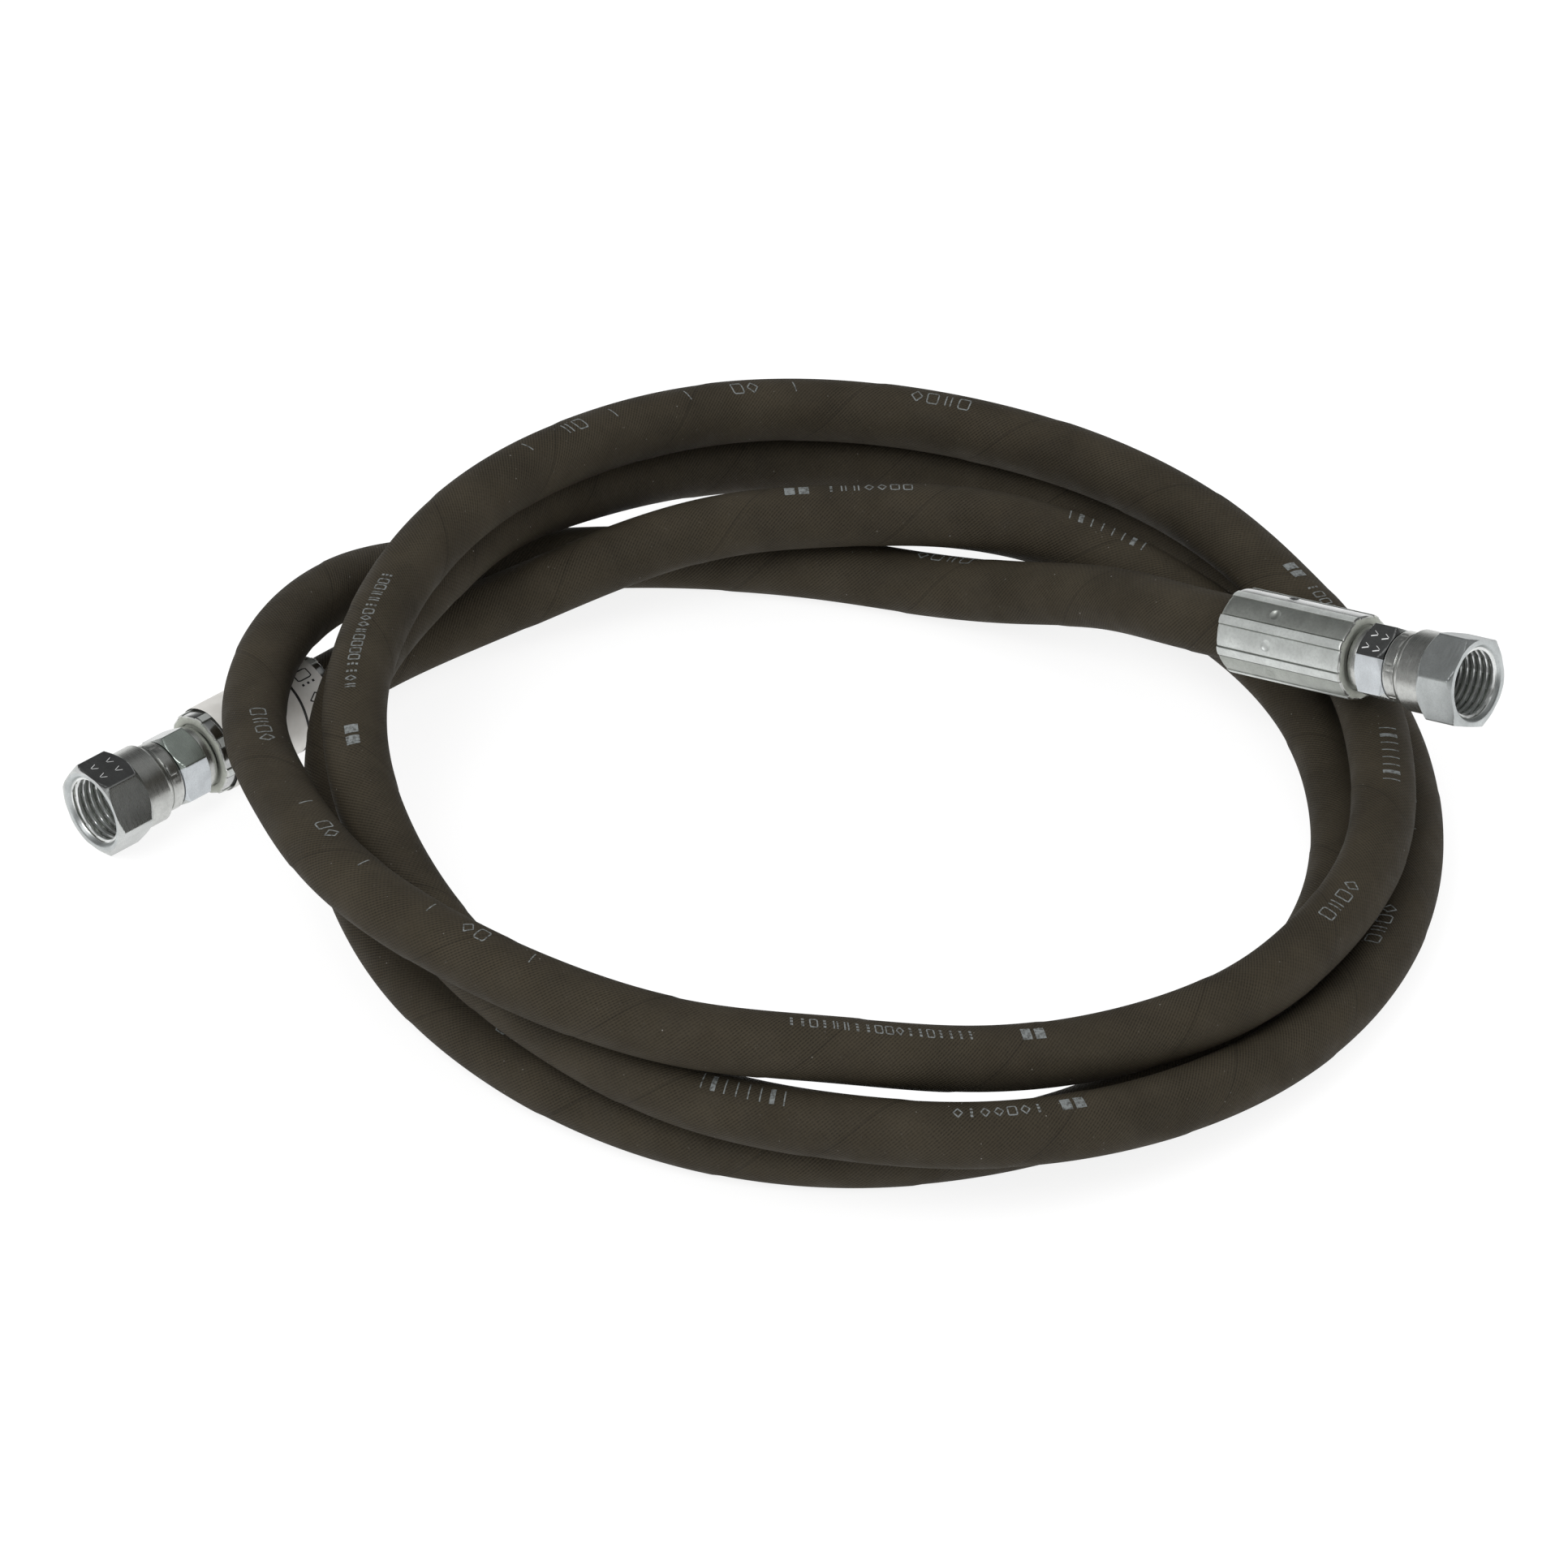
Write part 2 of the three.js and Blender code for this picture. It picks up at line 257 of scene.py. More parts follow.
def hose_tube(inner, outer, sides):
    """A tube along the hose: a fine outer wall, a coarser bore, and flat cut ends. The outer
    radius is one number, or one for each ring and side."""
    stride, ratio = 4, 5
    rings = len(LINE.middle)
    angles = np.arange(sides) * 2 * math.pi / sides
    wall = ring_points(LINE.middle, LINE.side, LINE.top, outer, angles)
    picks = np.unique(np.append(np.arange(0, rings, stride), rings - 1))
    bore_angles = angles[::ratio]
    bore = ring_points(LINE.middle[picks], LINE.side[picks], LINE.top[picks], inner, bore_angles)
    first_bore = rings * sides
    columns = len(bore_angles)
    faces = grid_faces(rings, sides, 0, flip=True) + grid_faces(len(picks), columns, first_bore)
    for ring, row, flip in ((0, 0, False), (rings - 1, len(picks) - 1, True)):
        for k in range(columns):
            near = [ring * sides + (k * ratio + j) % sides for j in range(ratio + 1)]
            far = [first_bore + row * columns + (k + 1) % columns, first_bore + row * columns + k]
            face = near + far
            faces.append(face[::-1] if flip else face)
    vertices = np.concatenate([wall.reshape(-1, 3), bore.reshape(-1, 3)])
    return vertices, faces, wall_uvs(faces, vertices, sides, rings, columns, picks)


def wall_uvs(faces, vertices, sides, rings, columns, picks):
    """u is the share of the way round, v the distance along the hose in millimetres."""
    u = np.concatenate([
        np.tile(np.arange(sides) / sides, rings),
        np.tile(np.arange(columns) / columns, len(picks)),
    ])
    v = np.concatenate([np.repeat(LINE.along, sides), np.repeat(LINE.along[picks], columns)])
    found = []
    for face in faces:
        around = u[face]
        around = np.where(around.max() - around > 0.5, around + 1, around)
        found.extend(zip(around, v[face]))
    return found


def slab(grids):
    """Closed thin slabs from pairs of point grids, (top, underside), as vertices and faces."""
    vertices, faces = [], []
    for top, under in grids:
        rows, columns = top.shape[:2]
        first = sum(len(v) for v in vertices)
        size = rows * columns
        index = np.arange(size).reshape(rows, columns) + first
        quads = np.stack([index[:-1, :-1], index[:-1, 1:], index[1:, 1:], index[1:, :-1]], -1).reshape(-1, 4)
        faces += quads.tolist() + (quads[:, ::-1] + size).tolist()
        rim = np.concatenate([index[0, :-1], index[:-1, -1], index[-1, :0:-1], index[:0:-1, 0]])
        after = np.roll(rim, -1)
        faces += np.stack([after, rim, rim + size, after + size], -1).tolist()
        vertices += [top.reshape(-1, 3), under.reshape(-1, 3)]
    return np.concatenate(vertices), faces


def frame_of(end):
    axis = axis_of(end)
    side = np.cross((0, 0, 1), axis)
    side /= np.linalg.norm(side)
    return axis, side, np.cross(axis, side)


def polar_points(end, along, radius, angles):
    """Points about a fitting's axis; along and radius are one number per point."""
    axis, side, top = frame_of(end)
    across = np.cos(angles)[..., None] * side + np.sin(angles)[..., None] * top
    return np.array(end["at"]) + np.asarray(along)[..., None] * axis + np.asarray(radius)[..., None] * across


def polar_solid(name, end, rings, angles):
    """A closed solid about a fitting's axis. Each ring is (distance, radius, slot): the radius is
    one number or one per angle, and the slot is the material of the band up to the next ring, which
    may be one per angle too."""
    count, columns = len(rings), len(angles)
    along = np.array([np.broadcast_to(ring[0], columns) for ring in rings], float)
    radius = np.array([np.broadcast_to(ring[1], columns) for ring in rings], float)
    points = polar_points(end, along, radius, np.broadcast_to(angles, along.shape))
    row, column = np.meshgrid(np.arange(count), np.arange(columns), indexing="ij")
    after = (column + 1) % columns
    below = (row + 1) % count
    quads = np.stack([
        row * columns + column, row * columns + after,
        below * columns + after, below * columns + column,
    ], -1).reshape(-1, 4)
    u = angles / (2 * math.pi)
    wrapped = np.append(u, u[0] + 1)
    uv = np.stack([
        np.stack([wrapped[column], along[row, column]], -1),
        np.stack([wrapped[column + 1], along[row, after]], -1),
        np.stack([wrapped[column + 1], along[below, after]], -1),
        np.stack([wrapped[column], along[below, column]], -1),
    ], -2).reshape(-1, 2)
    piece = new_piece(name, points.reshape(-1, 3), quads.tolist(), uvs=uv)
    slots = [np.broadcast_to(ring[2], columns) for ring in rings]
    piece.data.polygons.foreach_set("material_index", np.concatenate(slots).astype(np.int32))
    return piece


# ---------------------------------------------------------------------------------------------
# Materials
# ---------------------------------------------------------------------------------------------

class Shader:
    """A node material: each method adds a node and gives its output."""

    def __init__(self, name):
        self.material = bpy.data.materials.new(name)
        self.material.use_nodes = True
        self.tree = self.material.node_tree
        self.surface = self.tree.nodes["Principled BSDF"]

    def node(self, kind, inputs=(), **settings):
        made = self.tree.nodes.new(kind)
        for key, value in settings.items():
            setattr(made, key, value)
        for key, value in dict(inputs).items():
            self.put(made.inputs[key], value)
        return made

    def put(self, socket, value):
        if isinstance(value, bpy.types.NodeSocket):
            self.tree.links.new(value, socket)
        else:
            socket.default_value = value

    def set(self, **inputs):
        for key, value in inputs.items():
            self.put(self.surface.inputs[key.replace("_", " ")], value)

    def sum(self, operation, *values, clamp=False):
        made = self.node("ShaderNodeMath", operation=operation, use_clamp=clamp)
        for place, value in enumerate(values):
            self.put(made.inputs[place], value)
        return made.outputs[0]

    def surface_place(self):
        """(u, v) of the mesh's surface map: share of the way round, and millimetres along."""
        surface_map = self.node("ShaderNodeUVMap", uv_map="surface").outputs[0]
        split = self.node("ShaderNodeSeparateXYZ", {0: surface_map})
        return split.outputs[0], split.outputs[1]

    def object_place(self):
        return self.node("ShaderNodeTexCoord").outputs["Object"]

    def noise(self, scale, detail=2, place=None, roughness=0.5):
        place = place or self.object_place()
        inputs = {"Vector": place, "Scale": scale, "Detail": detail, "Roughness": roughness}
        return self.node("ShaderNodeTexNoise", inputs).outputs[0]

    def ramp(self, factor, *stops):
        """A ramp of (position, grey level or colour) stops."""
        made = self.node("ShaderNodeValToRGB", {0: factor})
        elements = made.color_ramp.elements
        while len(elements) < len(stops):
            elements.new(0.5)
        for element, (position, level) in zip(elements, stops):
            element.position = position
            element.color = (*level, 1) if isinstance(level, tuple) else (level, level, level, 1)
        return made.outputs[0]

    def mix(self, factor, first, second):
        made = self.node("ShaderNodeMix", data_type="RGBA")
        for place, value in ((0, factor), (6, first), (7, second)):
            if isinstance(value, tuple):
                value = (*value, 1)
            self.put(made.inputs[place], value)
        return made.outputs[2]

    def wave(self, u, v, turns, pitch):
        """A sine of threads that run round the piece: turns of them on the way round, and one
        every pitch millimetres along."""
        phase = self.sum("ADD", self.sum("MULTIPLY", u, turns), self.sum("DIVIDE", v, pitch))
        return self.sum("SINE", self.sum("MULTIPLY", phase, 2 * math.pi))

    def lathe_place(self, u, v, round_scale, along_scale):
        """A place for noise that is drawn out round the piece, with no seam."""
        angle = self.sum("MULTIPLY", u, 2 * math.pi)
        inputs = {
            0: self.sum("MULTIPLY", self.sum("COSINE", angle), round_scale),
            1: self.sum("MULTIPLY", self.sum("SINE", angle), round_scale),
            2: self.sum("MULTIPLY", v, along_scale),
        }
        return self.node("ShaderNodeCombineXYZ", inputs).outputs[0]

    def bump(self, height, distance, strength=1.0, under=None):
        inputs = {"Height": height, "Distance": distance * MM, "Strength": strength}
        if under is not None:
            inputs["Normal"] = under
        return self.node("ShaderNodeBump", inputs).outputs[0]


def rubber_cover():
    """Matt black rubber cured under a wrapped cloth: fine slanted threads, their crests painted lighter and
    their grooves darker as painted light and shade, faint seams of the wrap, brownish mottling and white
    dust."""
    shader = Shader("cover_rubber")
    u, v = shader.surface_place()
    threads = shader.wave(u, v, 50, 1.206)
    crossing = shader.wave(u, v, -38, 1.65)
    cloth = shader.sum("ADD", shader.sum("MULTIPLY", threads, 0.7), shader.sum("MULTIPLY", crossing, 0.3))
    patchy = shader.ramp(shader.noise(70, 3), (0.3, 0.45), (0.6, 1.0))
    grain = shader.noise(1500, 2)
    height = shader.sum("ADD", shader.sum("MULTIPLY", cloth, patchy), shader.sum("MULTIPLY", grain, 1.4))
    mottle = shader.noise(45, 5, roughness=0.6)
    tone = shader.mix(mottle, (0.0125, 0.0100, 0.0062), (0.0335, 0.0275, 0.0180))
    # The cloth's relief is also painted into the colour: lighter on the thread crests and darker in the
    # grooves, as painted light and shade
    thread_painted_light = shader.ramp(shader.sum("MULTIPLY_ADD", height, 0.3, 0.5), (0.2, 0.32), (0.8, 1.8))
    tone_and_painted_light = shader.node("ShaderNodeMix", data_type="RGBA", blend_type="MULTIPLY")
    for place, value in ((0, 1.0), (6, tone), (7, thread_painted_light)):
        shader.put(tone_and_painted_light.inputs[place], value)
    turns = shader.sum("FRACT", shader.sum("ADD", u, shader.sum("DIVIDE", v, WRAP["pitch"])))
    seam = shader.ramp(turns, (0.0, 1.0), (0.012, 0.0), (0.99, 0.0), (1.0, 1.0))
    seamed = shader.mix(shader.sum("MULTIPLY", seam, 0.32), tone_and_painted_light.outputs[2], (0.006, 0.005, 0.004))
    dust = shader.node("ShaderNodeTexVoronoi", {"Vector": shader.object_place(), "Scale": 520})
    near = shader.ramp(dust.outputs["Distance"], (0.07, 1.0), (0.13, 0.0))
    rare = shader.ramp(shader.node("ShaderNodeSeparateColor", {0: dust.outputs["Color"]}).outputs[0],
                       (0.93, 0.0), (0.98, 0.6))
    speck = shader.sum("MULTIPLY", near, rare)
    scuffs = shader.ramp(shader.noise(900, 4, roughness=0.7), (0.66, 0.0), (0.76, 0.16))
    dusted = shader.mix(shader.sum("MAXIMUM", speck, scuffs), seamed, (0.32, 0.31, 0.29))
    rough = shader.ramp(shader.noise(120, 4), (0.3, 0.66), (0.7, 0.85))
    shader.set(Base_Color=dusted, Roughness=rough, Specular_IOR_Level=0.16,
               Normal=shader.bump(height, 0.08, 1.0))
    return shader.material


def plain_rubber():
    """Smooth black rubber of the layers under the cover."""
    shader = Shader("tube_rubber")
    tone = shader.mix(shader.noise(200, 3), (0.006, 0.006, 0.006), (0.016, 0.016, 0.016))
    shader.set(Base_Color=tone, Roughness=shader.ramp(shader.noise(400, 2), (0.3, 0.4), (0.7, 0.6)))
    return shader.material


def wire_braid():
    """Brass-coated steel wires that cross at the braid angle."""
    shader = Shader("braid_wire")
    u, v = shader.surface_place()
    wires = shader.sum("MAXIMUM", shader.wave(u, v, 60, 0.65), shader.wave(u, v, -60, 0.65))
    tone = shader.mix(shader.ramp(wires, (0.0, 0.0), (1.0, 1.0)), (0.10, 0.07, 0.03), (0.62, 0.46, 0.22))
    shader.set(Base_Color=tone, Metallic=1.0, Roughness=0.35, Normal=shader.bump(wires, 0.15))
    return shader.material


def zinc(name, tint, rough, turned_marks, grain_size, grain_depth, metallic=1.0):
    """Bright zinc plate on machined steel. turned_marks is the depth of the lines left by the
    lathe, in millimetres; the grain is the fine speckle of the plating."""
    shader = Shader(name)
    u, v = shader.surface_place()
    lines = shader.noise(1.0, 3, place=shader.lathe_place(u, v, 1.5, 9.0), roughness=0.7)
    grain = shader.noise(grain_size, 3, roughness=0.65)
    clouds = shader.noise(160, 4)
    darker = tuple(level * 0.78 for level in tint)
    tone = shader.mix(shader.ramp(clouds, (0.3, 0.0), (0.7, 1.0)), darker, tint)
    pitted = tuple(level * 0.6 for level in tint)
    speckled = shader.mix(shader.ramp(grain, (0.35, 0.35), (0.55, 0.0)), tone, pitted)
    spread = shader.ramp(lines, (0.3, max(rough - 0.08, 0.05)), (0.7, rough + 0.1))
    scratched = shader.bump(lines, turned_marks)
    shader.set(Base_Color=speckled, Metallic=metallic, Roughness=spread,
               Normal=shader.bump(grain, grain_depth, under=scratched))
    return shader.material


def label_film():
    """White film with a satin face and a faint smudge, its tones greyed as painted shade."""
    shader = Shader("label_film")
    smudge = shader.ramp(shader.noise(90, 4), (0.35, 0.0), (0.75, 1.0))
    # Both tones are greyed below the film's white, as painted shade
    tone = shader.mix(smudge, (0.68, 0.67, 0.64), (0.50, 0.48, 0.45))
    shader.set(Base_Color=tone, Roughness=0.42, Normal=shader.bump(shader.noise(300, 3), 0.03))
    return shader.material


def ink(name, full, worn, wear_scale):
    """Printing ink, worn through in small patches."""
    shader = Shader(name)
    wear = shader.ramp(shader.noise(wear_scale, 4, roughness=0.7), (0.44, 0.0), (0.66, 1.0))
    shader.set(Base_Color=shader.mix(wear, full, worn), Roughness=0.6)
    return shader.material


COVER_RUBBER = rubber_cover()
TUBE_RUBBER = plain_rubber()
BRAID_WIRE = wire_braid()
ZINC_TURNED = zinc("zinc_turned", (0.62, 0.63, 0.61), 0.30, 0.02, 900, 0.004)
ZINC_FLAT = zinc("zinc_flat", (0.60, 0.62, 0.61), 0.27, 0.003, 2200, 0.012)
ZINC_POLISHED = zinc("zinc_polished", (0.56, 0.57, 0.57), 0.13, 0.003, 2200, 0.008)
# Near-white, barely metallic strokes for the stamps: a painted glint
ZINC_PAINTED_GLINT = zinc("zinc_painted_glint", (0.85, 0.86, 0.86), 0.6, 0.003, 2200, 0.02, metallic=0.2)
ZINC_CRIMPED = zinc("zinc_crimped", (0.66, 0.69, 0.65), 0.42, 0.008, 1100, 0.012)
ZINC_MATT = zinc("zinc_matt", (0.56, 0.58, 0.52), 0.62, 0.004, 1600, 0.015, metallic=0.5)
# A much lighter copy of the zinc for the nut's bore and thread crests: painted light
ZINC_BORE_PAINTED_LIGHT = zinc("zinc_bore_painted_light", (0.90, 0.92, 0.91), 0.34, 0.006, 1600, 0.006)
# A dark copy of the zinc for the thread roots, the feet of the ferrule ribs and one land: painted shade
ZINC_PAINTED_SHADE = zinc("zinc_painted_shade", (0.40, 0.42, 0.39), 0.40, 0.006, 1600, 0.006)
# A paler, bluish, less metallic copy of the zinc for single hexagon flats: painted light
ZINC_PALE_PAINTED_LIGHT = zinc("zinc_pale_painted_light", (0.74, 0.78, 0.81), 0.46, 0.003, 2400, 0.012, metallic=0.6)
ZINC_SATIN = zinc("zinc_satin", (0.58, 0.61, 0.61), 0.42, 0.003, 1800, 0.004)
# A lighter, less metallic copy of the zinc for the ferrule rib crests and one land: painted highlight
ZINC_PAINTED_HIGHLIGHT = zinc("zinc_painted_highlight", (0.68, 0.71, 0.69), 0.36, 0.03, 1100, 0.012, metallic=0.55)
ZINC_GREENISH = zinc("zinc_greenish", (0.60, 0.67, 0.62), 0.30, 0.003, 2200, 0.01)
LABEL_FILM = label_film()
PRINT_INK = ink("layline_ink", (0.175, 0.19, 0.19), (0.035, 0.033, 0.028), 900)
LABEL_INK = ink("label_ink", (0.01, 0.01, 0.01), (0.03, 0.03, 0.03), 500)


# ---------------------------------------------------------------------------------------------
# Hose
# ---------------------------------------------------------------------------------------------

def cover_radius(along, angles):
    """The cover's radius at these distances and angles: a small step where each turn of the wrap
    overlaps the last, and a slow waviness."""
    turn = (angles / (2 * math.pi) + along / WRAP["pitch"]) % 1
    edge = np.clip(turn / WRAP["ease"], 0, 1)
    slow = 0.05 * np.sin(along / 23 + 2 * angles)
    return HOSE_RADIUS - 0.14 + WRAP["step"] * (edge - turn) + slow


def make_hose():
    angles = np.arange(COVER_SIDES) * 2 * math.pi / COVER_SIDES
    radius = cover_radius(LINE.along[:, None], angles[None, :])
    vertices, faces, uvs = hose_tube(COVER_BORE, radius, COVER_SIDES)
    cover = new_piece("rubber_cover", vertices, faces, uvs=uvs)
    cover.data.materials.append(COVER_RUBBER)
    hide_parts("hose_cover")
    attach(cover, "hose")
    return cover


def make_layer(name, node, inner, outer, material):
    vertices, faces, uvs = hose_tube(inner, outer, LAYER_SIDES)
    layer = new_piece(name, vertices, faces, uvs=uvs)
    layer.data.materials.append(material)
    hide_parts(node)
    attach(layer, "hose")


cover = make_hose()
make_layer("outer_braid", "outer_wire_braid", 8.95, 9.2, BRAID_WIRE)
make_layer("insulation", "insulation_layer", 8.45, 8.7, TUBE_RUBBER)
make_layer("inner_braid", "inner_wire_braid", 7.85, 8.2, BRAID_WIRE)
make_layer("bore_tube", "inner_tube", 6.35, 7.6, TUBE_RUBBER)


hose_length = LINE.along[-1] + HOSE_IN_FERRULE


# ---------------------------------------------------------------------------------------------
# Fittings
# ---------------------------------------------------------------------------------------------

FERRULE_LENGTH = 47.2
FERRULE_RADIUS = 13.7
FERRULE_BORE = 10.12
# The ferrule's web closes its front round the stem: where it starts, and its bore
FERRULE_WEB = {"from": 40.2, "bore": 8.0}
STEM_BORE = 4.5
BARB = {"foot": 5.1, "crest": 5.5, "crests": (8, 18, 28)}
LAND_DROP = 0.45
LAND_PITCH = 45
DIMPLE = {"at": 18.8, "radius": 1.8, "depth": 0.6}
# Each hexagon's corners are turned down to a cone at either end, given as (radius at the end, slope)
STEM_HEX = {"flats": 22, "from": 51.3, "to": 61.5, "cones": ((11.0, 1.73), (11.0, 1.31))}
NUT_HEX = {"flats": 27, "from": 76.6, "to": 90.2, "cones": ((13.5, 1.0), (13.75, 1.73))}
THREAD = {"crest": 10.3, "root": 11.5, "pitch": 2.45, "from": 72.5, "to": 88.6}
NECK_MARK = {
    "angle": 25, "spread": 10.5, "depth": 0.25,
    "first": (62.9, 65.4), "second": (63.4, 66.0), "curve": 65.8,
}
LABEL = {"from": 3, "to": 43, "radius": 13.98, "thickness": 0.12, "span": 300}
FITTING_FINISHES = [
    ZINC_TURNED, ZINC_FLAT, ZINC_POLISHED, ZINC_CRIMPED, ZINC_MATT,
    ZINC_BORE_PAINTED_LIGHT, ZINC_PAINTED_SHADE, ZINC_PALE_PAINTED_LIGHT, ZINC_SATIN, ZINC_GREENISH, ZINC_PAINTED_HIGHLIGHT,
]


def smooth_min(a, b, blend):
    """The smaller of the two, with the corner between them rounded off."""
    share = np.clip(0.5 + 0.5 * (b - a) / blend, 0, 1)
    return b * (1 - share) + a * share - blend * share * (1 - share)


def finish_fitting(piece, node, body):
    for finish in FITTING_FINISHES:
        piece.data.materials.append(finish)
    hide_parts(node)
    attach(piece, body)
    return piece


def ferrule_radius(angles):
    """Radius round the ferrule: eight wide lands left by the dies, with a raised rib between."""
    off_land = np.abs((np.degrees(angles) + 360) % LAND_PITCH - LAND_PITCH / 2)
    rise = np.clip((off_land - 15.8) / 1.1, 0, 1)
    crown = 0.10 * np.clip((22.5 - off_land) / 6, 0, 1)
    foot = 0.2 * np.exp(-((off_land - 15.3) / 0.6) ** 2)
    return FERRULE_RADIUS - LAND_DROP * (1 - rise) - crown * rise - foot


def dimpled(radius, along, angles):
    """Presses a round dimple into the middle of each land."""
    off_land = ((np.degrees(angles) + 360) % LAND_PITCH - LAND_PITCH / 2)
    across = np.radians(off_land) * FERRULE_RADIUS
    away = np.hypot(across, along - DIMPLE["at"]) / DIMPLE["radius"]
    bowl = DIMPLE["depth"] * np.clip(1 - away**2, 0, 1) ** 0.8
    lip = 0.05 * np.exp(-((away - 1.12) / 0.12) ** 2)
    return radius - bowl + lip


def ferrule_angles():
    fine = [0.0, 3.0, 4.8, 5.6, 6.0, 6.35, 6.7, 7.0, 7.3, 7.7, 8.2, 9.0, 10.5, 13.5]
    fine += [22.5 - k for k in range(8, 0, -1)]
    half = np.array(fine)
    sector = np.concatenate([half, [22.5], 45 - half[:0:-1]])
    return np.radians(np.concatenate([sector + LAND_PITCH * k for k in range(8)]))


def make_ferrule(letter, end):
    angles = ferrule_angles()
    body = ferrule_radius(angles)
    middle = column_middles(angles) % 360
    off_land = np.abs(middle % LAND_PITCH - LAND_PITCH / 2)
    lands = np.array(end["lands"])[(middle // LAND_PITCH).astype(int)]
    # The rib crests get a lighter copy of the zinc as a painted highlight, and the rib feet a darker copy as
    # painted shade
    skin = np.where(off_land > 16.6, PAINTED_HIGHLIGHT, np.where(off_land > 15, PAINTED_SHADE, lands))
    wavy = 0.16 * np.cos(8 * angles) + 0.06 * np.cos(24 * angles)
    near_dimple = np.linspace(DIMPLE["at"] - 2.3, DIMPLE["at"] + 2.3, 17)
    stations = np.concatenate([[1.6, 5, 9, 13, 16], near_dimple, [24, 28, 32, 36, 40, 44]])
    entry = ((2.5, FERRULE_BORE), (0.6, 10.2), (0.0, 10.5), (-0.3, 11.0), (-0.4, 11.9))
    rings = [(along, radius, MATT) for along, radius in entry]
    for along, drop in ((-0.45, 1.0), (-0.4, 0.6), (-0.2, 0.3), (0.15, 0.1), (0.6, 0.02)):
        rings.append((along - 0.5 * wavy, body - drop, skin))
    rings += [(along, dimpled(body, along, angles), skin) for along in stations]
    front = FERRULE_LENGTH - 0.2 - wavy
    rings += [(front - 0.9, body, skin), (front - 0.5, body - 0.02, TURNED)]
    rings += [(front - 0.2, body - 0.12, TURNED), (front - 0.05, body - 0.3, TURNED)]
    rings.append((front, body - 0.55, MATT))
    for depth, radius in ((0.05, 12.4), (0.0, 11.6), (0.05, 10.75), (0.2, 10.5), (0.6, 10.4)):
        rings.append((FERRULE_LENGTH - depth, radius, MATT))
    rings += [(FERRULE_LENGTH - 1, 10.3, MATT), (FERRULE_LENGTH - 1, FERRULE_WEB["bore"], MATT)]
    rings += [(FERRULE_WEB["from"], radius, MATT) for radius in (FERRULE_WEB["bore"], FERRULE_BORE)]
    piece = polar_solid(f"ferrule_crimped_{letter}", end, rings, angles)
    return finish_fitting(piece, f"ferrule_{letter}", "hose")


def hexagon_angles(turn):
    """Angles round a hexagon, close together at its corners; turn is one corner's angle."""
    near = np.array([0.5, 1.0, 1.6, 2.5, 4.0, 6.5, 9, 12, 15, 18, 21, 24, 27])
    sector = np.concatenate([[0], near, [30], 60 - near[::-1]])
    return np.radians(np.concatenate([sector + turn + 60 * k for k in range(6)]))


def hexagon_radius(angles, flats, turn):
    off_flat = np.radians((np.degrees(angles) - turn) % 60 - 30)
    corner = flats / 2 / math.cos(math.pi / 6)
    return smooth_min(flats / 2 / np.cos(off_flat), corner - 0.12, 0.12)


def hexagon_rings(sizes, angles, turn, slots, steps=9):
    """Rings of a hexagon bar whose corners are turned down to a cone at each end."""
    hexagon = hexagon_radius(angles, sizes["flats"], turn)
    length = sizes["to"] - sizes["from"]
    (rear, rear_slope), (front, front_slope) = sizes["cones"]
    near = 2.3 * np.linspace(0, 1, steps) ** 1.3
    stations = np.concatenate([near, [length / 2], length - near[::-1]])
    rings = []
    for step in stations:
        cone = min(rear + rear_slope * step, front + front_slope * (length - step))
        rings.append((sizes["from"] + step, smooth_min(hexagon, np.full_like(hexagon, cone), 0.1), slots))
    return rings


def column_middles(angles):
    """The angle in degrees midway between each column and the next."""
    return np.degrees(angles + np.diff(np.append(angles, angles[0] + 2 * math.pi)) / 2)


def flat_slots(angles, turn, finishes):
    """Slot of each column of a hexagon, from the finishes of its six flats."""
    number = ((column_middles(angles) - turn) // 60).astype(int) % 6
    return np.array(finishes)[number]


def make_stem(letter, end):
    angles = hexagon_angles(end["stem_turn"])
    flats = flat_slots(angles, end["stem_turn"], end["stem_flats"])
    rings = [(2, STEM_BORE, TURNED), (2, 4.9, TURNED), (2.2, BARB["foot"], TURNED)]
    for crest in BARB["crests"]:
        rings += [(crest, BARB["crest"], TURNED), (crest, BARB["foot"], TURNED)]
    rings += [(36.4, BARB["crest"], TURNED), (36.4, 9.7, TURNED), (36.6, 9.9, TURNED)]
    rings += [(39.6, 9.9, TURNED), (39.8, 9.7, TURNED), (39.8, 7.5, TURNED), (47.5, 7.5, TURNED)]
    rings += [(47.5, 9, TURNED), (47.7, 9.5, TURNED)]
    collar = ((47.85, 9.95), (48.05, 10.2), (48.3, 10.3), (50.6, 10.3), (50.85, 10.22), (50.95, 10.0))
    rings += [(along, radius, TURNED) for along, radius in collar]
    rings += [(51.05, 9.85, TURNED), (51.2, 9.85, TURNED), (51.28, 10.2, TURNED)]
    rings += hexagon_rings(STEM_HEX, angles, end["stem_turn"], flats)
    rings += [(61.52, 9.6, TURNED), (61.52, 8.4, TURNED), (61.7, 8.2, TURNED), (66.1, 8.2, TURNED)]
    rings += [(66.1, 9.4, TURNED), (66.4, 9.7, TURNED), (75.2, 9.7, TURNED), (75.6, 9.3, TURNED)]
    rings += [(75.6, 8.2, TURNED), (74.6, 7.45, TURNED), (72.6, 5.93, TURNED)]
    rings += [(70.7, STEM_BORE, TURNED), (40, STEM_BORE, TURNED)]
    piece = polar_solid(f"stem_{letter}", end, rings, angles)
    return finish_fitting(piece, f"hose_stem_{letter}", "hose")


